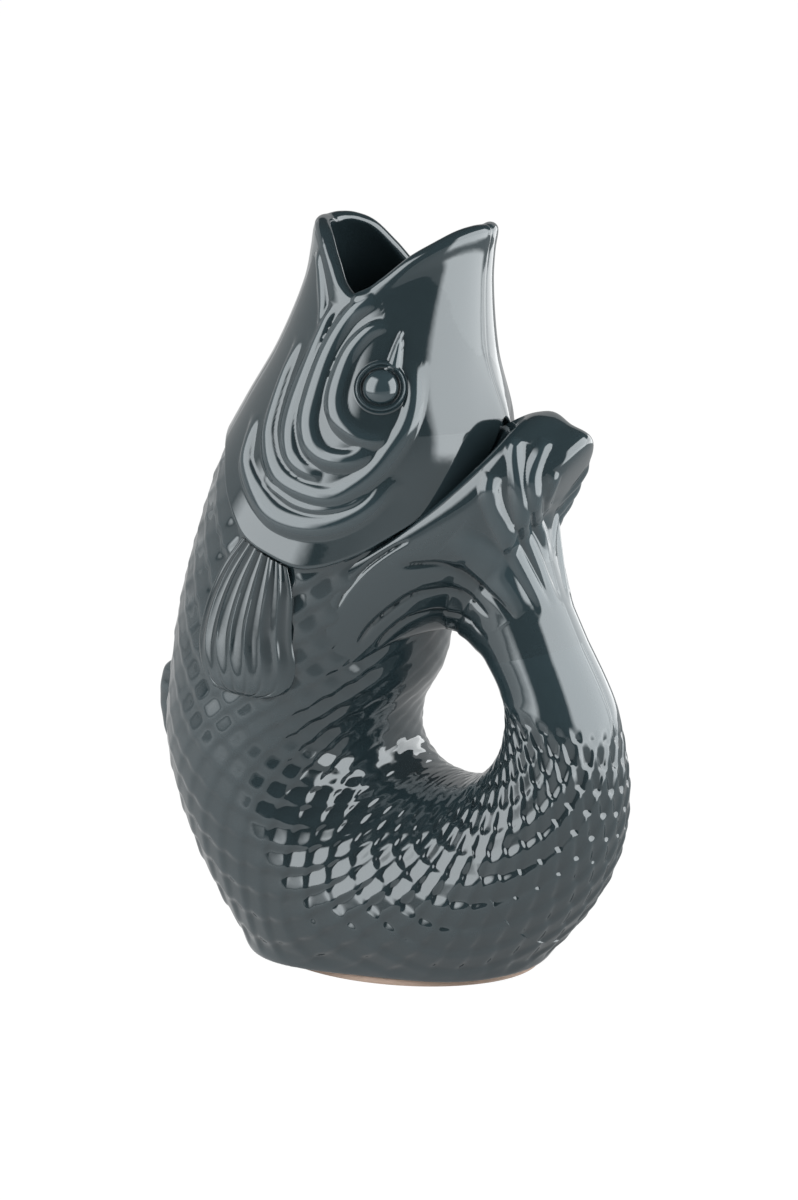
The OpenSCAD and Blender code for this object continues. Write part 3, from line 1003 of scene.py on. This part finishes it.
@dataclass
class Head:
    """Head with its lip, cheeks and gill edge."""

    glaze: bpy.types.Material
    columns: int = 220
    outer_rows: int = 160
    bead_rows: int = 14
    lining_rows: int = 22
    edge_rows: int = 6
    edge_round: float = 1.3 * MM
    edge_lift: float = 0.6 * MM
    edge_sink: float = 1.2 * MM
    lip_swell: float = 0.5 * MM
    lip_blend: float = 8
    bead_height: float = 0.93
    bead_glaze: float = 0.55
    edge_glaze: float = 0.7

    def build(self) -> bpy.types.Object:
        """Models the head as one closed shell, from the lip's inside over the outside and back.

        Returns:
            The shell.
        """
        angle = np.linspace(0, 180, self.columns + 1)
        mouth, gill = FISH.mouth_place(angle), FISH.gill_place(angle)
        t = np.linspace(0, 1, self.outer_rows + 1)[:, None]
        swell = FISH.gill_lip * FISH.by_angle(FISH.gill_lip_shares, angle) * np.maximum(
            0, (t - FISH.smooth_head_share) / (1 - FISH.smooth_head_share)) ** 2
        section = mouth * (1 - t) + gill * t
        outer = FISH.skin(section, angle, -swell)
        down = np.concatenate([np.zeros((1, len(angle))), np.cumsum(
            np.linalg.norm(np.diff(outer, axis=0), axis=-1), axis=0)])
        normal = outward_normals(outer)
        relief = modelled(outer, CHEEK, FISH.skin)
        relief += self.lip_swell * ease(down / MM, self.lip_blend, 0) ** 1.5
        relief -= SEAM.depth(outer, angle < 90)
        shaped = outer + normal * relief[..., None]
        share = np.linspace(0, 1, self.lining_rows + 1)[::-1, None] ** 1.6
        lining = FISH.skin(mouth * (1 - share) + gill * share, angle, FISH.wall)
        rise = np.linalg.norm(lining - lining[-1], axis=-1) / MM
        lining = lining - normal[:1] * (self.lip_swell * ease(rise, self.lip_blend, 0))[..., None]
        bead = self._bead(shaped[0], lining[-1])
        edge = self._edge(gill, angle, swell[-1], shaped[-1], outer[-1])
        rows = [bead, shaped[1:], edge, lining]
        glaze = [np.full(bead.shape[:2], self.bead_glaze), thinness(relief[1:], 0.3, 3 * MM),
                 np.full(edge.shape[:2], self.edge_glaze),
                 np.full(lining.shape[:2], LINING_GLAZE)]
        piece = modelled_sheet("head_shell", both_sides(np.concatenate(rows)),
                               both_sides(np.concatenate(glaze)))
        close_and_smooth(piece)
        return placed(piece, "glaze", self.glaze, "head", "mouth_rim",
                      "left_cheek_folds", "right_cheek_folds")

    def _bead(self, outer: Points, inner: Points) -> Points:
        """Half-round bead from the lining over the lip to the outside.

        Args:
            outer: the outside's edge.
            inner: the lining's edge.

        Returns:
            Rows of points.
        """
        middle, half = (outer + inner) / 2, (outer - inner) / 2
        along = np.gradient(outer, axis=0)
        along[[0, -1]] *= [0, 1, 0]
        up = units(np.cross(along, half))
        up *= np.sign(up[..., 2:3])
        turn = np.linspace(np.pi, 0, self.bead_rows + 1)[:, None, None]
        size = np.linalg.norm(half, axis=-1, keepdims=True) * self.bead_height
        return middle + half * np.cos(turn) + up * size * np.sin(turn)

    def _edge(self, gill: Points, angle: Points, swell: Points, last: Points,
              base: Points) -> Points:
        """Rounded end of the head over the body.

        Args:
            gill: section of the gill edge at each angle.
            angle: the angles.
            swell: how far the smooth head stands off the skin there.
            last: the outside's last row.
            base: the same row without its relief.

        Returns:
            Rows of points.
        """
        per_metre = 1 / np.linalg.norm(FISH.along(gill, angle), axis=-1)
        turn = np.linspace(0, np.pi / 2, self.edge_rows + 1)[1:, None]
        round_over = np.minimum(self.edge_round, swell + self.edge_lift)
        depth = -swell + round_over * (1 - np.cos(turn))
        edge = FISH.skin(gill + per_metre * round_over * np.sin(turn), angle, depth)
        edge = edge + (last - base) * np.cos(turn)[..., None]
        foot = FISH.skin(gill + per_metre * round_over, angle, self.edge_sink)[None]
        return np.concatenate([edge, foot])


@dataclass
class Belly:
    """Hollow belly from the gill edge to the tail, in the mould's two halves, with its scales."""

    glaze: bpy.types.Material
    columns: int = 244
    outer_rows: int = 370
    lining_rows: int = 20

    def build(self) -> list[bpy.types.Object]:
        """Models the left half and copies it to the right.

        Returns:
            Both halves.
        """
        angle = np.linspace(0, 180, self.columns + 1)
        start, end = FISH.gill_place(angle), np.full(angle.shape, FISH.tail_section)
        t = np.linspace(0, 1, self.outer_rows + 1)[:, None]
        section = start * (1 - t) + end * t
        outer = FISH.skin(section, angle)
        shaped, glaze = scaled_skin(section, np.broadcast_to(angle, section.shape), outer)
        share = np.linspace(1, 0, self.lining_rows + 1)[:, None]
        lining = FISH.skin(start * (1 - share) + end * share, angle, FISH.wall)
        rows = np.concatenate([shaped, lining, shaped[:1]])
        glaze = np.concatenate([glaze, np.full(lining.shape[:2], LINING_GLAZE), glaze[:1]])
        left = modelled_sheet("belly_left", rows, glaze)
        close_and_smooth(left, cap=True)
        right = mirrored_copy(left, "belly_right")
        return [placed(piece, "glaze", self.glaze, "body") for piece in (left, right)]


def scaled_skin(section: Points, angle: Points, outer: Points) -> tuple[Points, Points]:
    """Skin with its scales.

    Args:
        section: sections of the points.
        angle: angles of the points.
        outer: points of the smooth skin.

    Returns:
        The shaped points, and how thin the glaze lies on them.
    """
    step = 0.02
    slope = np.linalg.norm(FISH.along(section, angle, step), axis=-1)
    rows = (SCALES.row_place(section + step) - SCALES.row_place(section - step)) / (2 * step)
    girth = np.linalg.norm(FISH.across(section, angle), axis=-1) * 360
    relief = SCALES.relief(section, angle, slope / rows, girth / SCALES.around)
    relief = softened(relief, SCALES.passes)
    seam = SEAM.depth(outer, (angle > 90) & (section > FISH.tail_section))
    relief = relief * SCALES.share(section, angle, outer) - seam
    shaped = outer + outward_normals(outer) * relief[..., None]
    shaped[..., 2] = np.maximum(shaped[..., 2], FISH.foot_height)
    return shaped, thinness(relief, 0.7, SCALES.rise / 0.6)


@dataclass
class Tail:
    """Hollow tail from the belly to its fin, closed at the top."""

    glaze: bpy.types.Material
    columns: int = 180
    outer_rows: int = 236
    lining_rows: int = 14
    top_section: float = 19
    hollow_section: float = 18.4
    top_glaze: float = 0.5

    def build(self) -> bpy.types.Object:
        """Models the tail as one closed shell.

        Returns:
            The shell.
        """
        angle = np.linspace(0, 180, self.columns + 1)
        section = np.linspace(FISH.tail_section, self.top_section, self.outer_rows + 1)[:, None]
        section = section + 0 * angle
        outer = FISH.skin(section, angle)
        shaped, glaze = scaled_skin(section, np.broadcast_to(angle, section.shape), outer)
        lined = np.linspace(self.hollow_section, FISH.tail_section, self.lining_rows + 1)[:, None]
        lining = FISH.skin(lined, angle, FISH.wall)
        rows = np.concatenate([self._closed(lining[0]), lining, shaped, self._closed(shaped[-1])])
        glaze = np.concatenate([np.full((1 + len(lining), len(angle)), LINING_GLAZE), glaze,
                                np.full((1, len(angle)), self.top_glaze)])
        piece = modelled_sheet("tail_shell", both_sides(rows), both_sides(glaze))
        close_and_smooth(piece)
        return placed(piece, "glaze", self.glaze, "tail")

    def _closed(self, row: Points) -> Points:
        """One row with every point at the middle of another."""
        return np.broadcast_to((row[0] + row[-1]) / 2, (1,) + row.shape)


@dataclass
class TailFin:
    """The tail's two lobes with their rays, grown together and rooted on the belly's back."""

    glaze: bpy.types.Material
    columns: int = 200
    rows: int = 190
    wear_passes: int = 60
    wear_angles: tuple = ((84, 98), (128, 152))
    wear_shares: tuple = ((0.15, 0.3), (0.7, 0.9))

    def build(self) -> bpy.types.Object:
        """Models the lobes as one closed form.

        Returns:
            The lobes.
        """
        angle = np.linspace(0, 180, self.columns + 1)
        t = self._even_rows()[:, None] + 0 * angle
        outer = self._worn(LOBES.points(t, angle), t, angle)
        normal = outward_normals(outer)
        relief = modelled(outer, LOBE_LINES, LOBES.points)
        shaped = outer + normal * relief[..., None]
        rows = np.concatenate([self._closed(shaped[0]), shaped, self._closed(shaped[-1])])
        ends = np.zeros((1, len(angle)))
        glaze = np.concatenate([ends, 0.5 + relief / (2.5 * MM), ends])
        piece = modelled_sheet("tail_fin", both_sides(rows), both_sides(glaze))
        close_and_smooth(piece)
        return placed(piece, "glaze", self.glaze, "upper_tail_lobe", "lower_tail_lobe")

    def _worn(self, outer: Points, t: Points, angle: Points) -> Points:
        """Wears down the ridge under the upper lobe's face.

        Args:
            outer: the lobes' outside.
            t: share of the way from the roots to the tail, at each point.
            angle: angle round the lobes, at each point.

        Returns:
            The worn outside.
        """
        worn = outer
        for _ in range(self.wear_passes):
            worn = blended(worn, 0, "edge")
        where = band(angle, *self.wear_angles) * band(t, *self.wear_shares)
        return outer + (worn - outer) * where[..., None]

    def _even_rows(self) -> Points:
        """Spaces the rows evenly along the lobes' outside.

        Returns:
            The share of the way from the roots to the tail at each row.
        """
        fine = np.linspace(0, 1, 600)
        lines = [LOBES.points(fine, np.full(len(fine), angle)) for angle in (40.0, 100.0, 160.0)]
        step = sum(np.linalg.norm(np.diff(line, axis=0), axis=1) for line in lines)
        length = np.concatenate([[0], np.cumsum(step)])
        return np.interp(np.linspace(0, length[-1], self.rows + 1), length, fine)

    def _closed(self, row: Points) -> Points:
        """One row with every point at the mean of another, on the jug's middle plane."""
        return np.broadcast_to(row.mean(axis=0) * [1, 0, 1], (1,) + row.shape)


@dataclass
class SideFins:
    """Fins laid on the flanks, with their rays.

    The edges are rows of section and angle of the front edge, and then of the back edge.
    """

    glaze: bpy.types.Material
    rise: float = 3.2 * MM
    edge: float = 1.0 * MM
    rows: int = 150
    columns: int = 130
    edges: tuple = (
        (5.72, 106, 5.99, 82), (6.20, 111.5, 6.40, 75.5), (6.75, 113.5, 6.95, 70),
        (7.30, 112, 7.45, 65.5), (7.75, 105.5, 7.90, 66.5), (7.97, 95, 8.06, 76))
    rise_shares: tuple = (0.45, 0.68, 0.87, 0.95, 0.75, 0)
    rays: int = 7
    ray_depth: float = 1.0 * MM
    border_drop: float = 0.7 * MM
    wall: float = 2.2 * MM

    def build(self) -> list[bpy.types.Object]:
        """Models the left fin and copies it to the right.

        Returns:
            Both fins.
        """
        last = len(self.edges) - 1
        t = np.linspace(0, 1, self.rows + 1)[:, None]
        s = np.linspace(0, 1, self.columns + 1)[None]
        edges = spline(self.edges, t[:, 0] * last)
        section = edges[:, 0:1] * (1 - s) + edges[:, 2:3] * s
        angle = edges[:, 1:2] * (1 - s) + edges[:, 3:4] * s
        ridge = (self.rise - self.edge) * spline(self.rise_shares, t * last)
        flute = np.abs(np.sin(np.pi * self.rays * s))
        rays = self.ray_depth * (flute ** 0.8 * ease(t, 0.9, 0.4) * -1
                                 - (1 - flute) ** 2 * ease(t, 0.5, 0.8) * 0.4)
        border = band(s, (0, 0.06), (0.94, 1)) * ease(t, 1.0, 0.86)
        height = self.edge + ridge * np.sin(np.pi * s) ** 0.6 + rays * border
        height = height - (1 - border) * self.border_drop
        left = modelled_sheet("left_fin", FISH.raised(section, angle, height),
                              thinness(rays, 0.6, 1.5 * MM))
        thickened(left, self.wall)
        close_and_smooth(left, smooth_angle=60)
        right = mirrored_copy(left, "right_fin")
        return [placed(left, "glaze", self.glaze, "left_side_fin"),
                placed(right, "glaze", self.glaze, "right_side_fin")]


@dataclass
class BellyFin:
    """Ridge down the front of the belly."""

    glaze: bpy.types.Material
    rise: float = 12 * MM
    edge: float = 0.8 * MM
    base: float = 0.4 * MM
    top: float = 8.05
    bottom: float = 9.75
    half_angle: float = 8
    rise_shares: tuple = (0.04, 0.84, 1.02, 1.02, 0.95, 0.80, 0.04)
    rays: int = 7
    ray_depth: float = 0.25 * MM
    wall: float = 1.5 * MM
    rows: int = 90
    columns: int = 60

    def build(self) -> bpy.types.Object:
        """Models the fin.

        Returns:
            The fin.
        """
        t = np.linspace(0, 1, self.rows + 1)[:, None]
        s = np.linspace(-1, 1, self.columns + 1)[None]
        section = self.top + (self.bottom - self.top) * t + 0 * s
        angle = 180 + s * self.half_angle + 0 * t
        ridge = (self.rise - self.edge) * spline(self.rise_shares, t * (len(self.rise_shares) - 1))
        height = self.base + ridge * np.cos(np.pi / 2 * s) ** 1.5
        rays = self.ray_depth * np.sin(2 * np.pi * self.rays * t) * np.sin(np.pi * np.abs(s))
        rays = rays * band(t, (0, 0.1), (0.9, 1))
        piece = modelled_sheet("front_fin", FISH.raised(section, angle, height + rays),
                               thinness(rays, 0.5, MM))
        thickened(piece, self.wall)
        close_and_smooth(piece, smooth_angle=60)
        return placed(piece, "glaze", self.glaze, "belly_fin")


@dataclass
class Eyes:
    """Eyeballs, each in a groove with a lid round it."""

    glaze: bpy.types.Material
    ball: float = 5.7 * MM
    ball_rise: float = 3.3 * MM
    lid_reach: float = 9.6 * MM
    lid_rise: float = 1.9 * MM
    lid_place: float = 7.5 * MM
    lid_width: float = 0.65 * MM
    border: float = 0.8 * MM
    border_drop: float = 0.35 * MM
    lift: float = 0.05 * MM
    wall: float = 1.5 * MM
    rings: int = 90
    spokes: int = 160

    def build(self) -> list[bpy.types.Object]:
        """Models the left eye and copies it to the right.

        Returns:
            Both eyes.
        """
        u, a = EYE_PLACE
        along, across = np.linalg.norm(FISH.along(u, a)), np.linalg.norm(FISH.across(u, a))
        reach = np.linspace(0, self.lid_reach, self.rings + 1)[:, None]
        spoke = np.linspace(0, 2 * np.pi, self.spokes + 1)[None]
        section = u + reach * np.cos(spoke) / along
        angle = a + reach * np.sin(spoke) / across
        ball = np.where(reach < self.ball,
                        self.ball_rise * np.sqrt(np.maximum(0, 1 - (reach / self.ball) ** 2)), 0)
        lid = self.lid_rise * np.exp(-((reach - self.lid_place) / self.lid_width) ** 2)
        border = ease(reach, self.lid_reach - self.border, self.lid_reach)
        height = np.maximum(ball, lid) - self.border_drop * border + self.lift + 0 * spoke
        left = modelled_sheet("left_eyeball", FISH.raised(section, angle, height),
                              thinness(height, 0.35, 3 * MM))
        thickened(left, self.wall)
        close_and_smooth(left, smooth_angle=60)
        right = mirrored_copy(left, "right_eyeball")
        return [placed(left, "glaze", self.glaze, "left_eye"),
                placed(right, "glaze", self.glaze, "right_eye")]


@dataclass
class Foot:
    """Bare clay ring on which the jug stands."""

    clay: bpy.types.Material
    length: float = 98 * MM
    width: float = 76 * MM
    height: float = 2.5 * MM
    ring: float = 7 * MM
    recess: float = 1.5 * MM
    soft_edge: float = 0.5 * MM

    def build(self) -> bpy.types.Object:
        """Models the ring from a disc: its underside is inset and pushed up, its edges rounded.

        Returns:
            The ring.
        """
        piece = primitive(bpy.ops.mesh.primitive_cylinder_add, "foot_ring", vertices=160,
                          radius=0.5, depth=self.height, location=(0, 0, self.height / 2))
        bpy.ops.object.transform_apply(location=True, rotation=True, scale=True)
        with editing(piece):
            bpy.ops.transform.resize(value=(self.length, self.width, 1), center_override=(0, 0, 0))
            bpy.ops.mesh.select_all(action="DESELECT")
        for face in piece.data.polygons:
            face.select = face.normal.z < -0.5
        with editing(piece, whole=False):
            bpy.ops.mesh.inset(thickness=self.ring)
            bpy.ops.transform.translate(value=(0, 0, self.recess))
            bpy.ops.mesh.select_all(action="SELECT")
        soften = piece.modifiers.new("soften", "BEVEL")
        soften.width, soften.segments = self.soft_edge, 3
        bpy.ops.object.modifier_apply(modifier=soften.name)
        close_and_smooth(piece, smooth_angle=40)
        return placed(piece, "bare_clay", self.clay, "foot")


# The studio

@dataclass(frozen=True)
class SoftBox:
    """Soft box that stands on the floor and faces the jug.

    Attributes:
        name: its name.
        turn: how far to the camera's right it stands, seen from the jug, in degrees.
        distance: distance from the jug, along the floor.
        size: its width and height.
        radiance: its brightness.
        soft: shares of its width and height over which its edges fade.
        flagged: whether its light is kept off the floor.
    """

    name: str
    turn: float
    distance: float
    size: tuple[float, float]
    radiance: float
    soft: tuple[float, float] = (0, 0)
    flagged: bool = False


@dataclass
class Studio:
    """Pale floor, soft boxes, surroundings and camera."""

    target: tuple = (0.0048, 0, 0.125)
    azimuth: float = 28
    elevation: float = 13
    distance: float = 1.3
    lens: float = 117
    shift: tuple = (-16 / 1200, -7 / 1200)
    floor_size: float = 14
    floor_glow: float = 1.08
    floor_seen: float = 0.93
    floor_mirrored: float = 0.31
    dim: float = 0.06
    boxes: tuple[SoftBox, ...] = (
        SoftBox("right_box", 72, 0.50, (0.92, 0.64), 3.5, (0.12, 0.08), True),
        SoftBox("side_box", 131, 0.90, (0.66, 0.44), 2.4, flagged=True),
        SoftBox("rear_wall", 176, 1.60, (2.00, 1.00), 0.4),
        SoftBox("left_box", -59, 0.75, (1.02, 1.05), 3.2, (0.18, 0.15)),
        SoftBox("left_wall", -124, 1.20, (1.70, 1.10), 0.5, (0.1, 0.1)))

    def build(self) -> None:
        """Sets up the whole studio."""
        floor = self.floor()
        self.surroundings()
        for box in self.boxes:
            self.soft_box(box, floor)
        self.camera()

    def floor(self) -> bpy.types.Object:
        """Lays a white floor that keeps the jug's shadow.

        Returns:
            The floor.
        """
        floor = primitive(bpy.ops.mesh.primitive_plane_add, "floor", size=1, location=(0, 0, 0))
        with editing(floor):
            bpy.ops.transform.resize(value=(self.floor_size, self.floor_size, 1),
                                     center_override=(0, 0, 0))
        made = bpy.data.materials.new("white_floor")
        graph = Graph(made)
        path = graph.node("ShaderNodeLightPath", output="Is Camera Ray")
        gloss = graph.node("ShaderNodeLightPath", output="Is Glossy Ray")
        matt = graph.node("ShaderNodeBsdfDiffuse", None, {"Color": (0.85, 0.85, 0.85, 1)})
        glow = graph.node("ShaderNodeEmission", None, {
            "Color": (1, 1, 1, 1), "Strength": self.floor_glow})
        share = (path * self.floor_seen + gloss * self.floor_mirrored).clamped()
        both = graph.node("ShaderNodeMixShader", None, {0: share, 1: matt, 2: glow})
        graph.node("ShaderNodeOutputMaterial", None, {"Surface": both})
        floor.data.materials.append(made)
        return floor

    def surroundings(self) -> None:
        """White behind the jug, dim elsewhere."""
        world = bpy.data.worlds.new("studio")
        bpy.context.scene.world = world
        graph = Graph(world)
        seen = graph.node("ShaderNodeLightPath", output="Is Camera Ray")
        shade = graph.node("ShaderNodeBackground", None, {
            "Color": (1, 1, 1, 1), "Strength": seen * (1 - self.dim) + self.dim})
        graph.node("ShaderNodeOutputWorld", None, {"Surface": shade})

    def soft_box(self, box: SoftBox, floor: bpy.types.Object) -> None:
        """Adds a soft box.

        Args:
            box: its place, size and light.
            floor: the floor.
        """
        angle = math.radians(self.azimuth + box.turn)
        out = np.array([math.sin(angle), -math.cos(angle), 0])
        centre = out * box.distance + [0, 0, box.size[1] / 2]
        data = bpy.data.lights.new(box.name, "AREA")
        data.shape, data.size, data.size_y = "RECTANGLE", *box.size
        data.energy = box.radiance * math.pi * box.size[0] * box.size[1]
        if any(box.soft):
            graph = Graph(data)
            place = graph.node("ShaderNodeNewGeometry", output="Parametric")
            fade = 1.0
            for share, axis in zip(box.soft, "XY"):
                at = graph.node("ShaderNodeSeparateXYZ", None, {0: place}, output=axis)
                off = graph.node("ShaderNodeMath", {"operation": "ABSOLUTE"}, {0: at - 0.5})
                fade = ((0.5 - off) * (1 / share)).clamped() * fade
            glow = graph.node("ShaderNodeEmission", None, {"Strength": fade})
            graph.node("ShaderNodeOutputLight", None, {"Surface": glow})
        aim = np.array(self.target) - centre
        lamp = self.aimed(data, centre, aim * [1, 1, 0.5])
        lamp.visible_camera = False
        if box.flagged:
            flag = bpy.data.collections.new(f"{box.name}_flag")
            flag.objects.link(floor)
            flag.collection_objects[0].light_linking.link_state = "EXCLUDE"
            lamp.light_linking.receiver_collection = flag
        log.info("%s: radiance %.1f", box.name, box.radiance)

    def aimed(self, data: bpy.types.ID, place: Any, aim: Any) -> bpy.types.Object:
        """Puts a lamp or camera in its place and turns it.

        Args:
            data: the lamp or camera.
            place: its place.
            aim: the direction in which it looks.

        Returns:
            Its object.
        """
        made = bpy.data.objects.new(data.name, data)
        bpy.context.collection.objects.link(made)
        made.location = place
        made.rotation_mode = "QUATERNION"
        made.rotation_quaternion = Vector(aim).to_track_quat("-Z", "Y")
        return made

    def camera(self) -> None:
        """Camera at the photograph's angle."""
        a, e = math.radians(self.azimuth), math.radians(self.elevation)
        back = Vector((math.sin(a) * math.cos(e), -math.cos(a) * math.cos(e), math.sin(e)))
        data = bpy.data.cameras.new("camera")
        data.lens, data.sensor_width = self.lens, 36
        data.shift_x, data.shift_y = self.shift
        place = Vector(self.target) + back * self.distance
        bpy.context.scene.camera = self.aimed(data, place, -back)


def main() -> None:
    """Builds the studio and every piece of the jug, in order."""
    bpy.context.scene.view_settings.view_transform = "Standard"
    Studio().build()
    glaze = GlazeFinish().material()
    clay = ClayFinish().material()
    Foot(clay).build()
    Belly(glaze).build()
    Tail(glaze).build()
    TailFin(glaze).build()
    Head(glaze).build()
    SideFins(glaze).build()
    BellyFin(glaze).build()
    Eyes(glaze).build()
    bpy.ops.object.select_all(action="DESELECT")


if __name__ == "__main__":
    main()
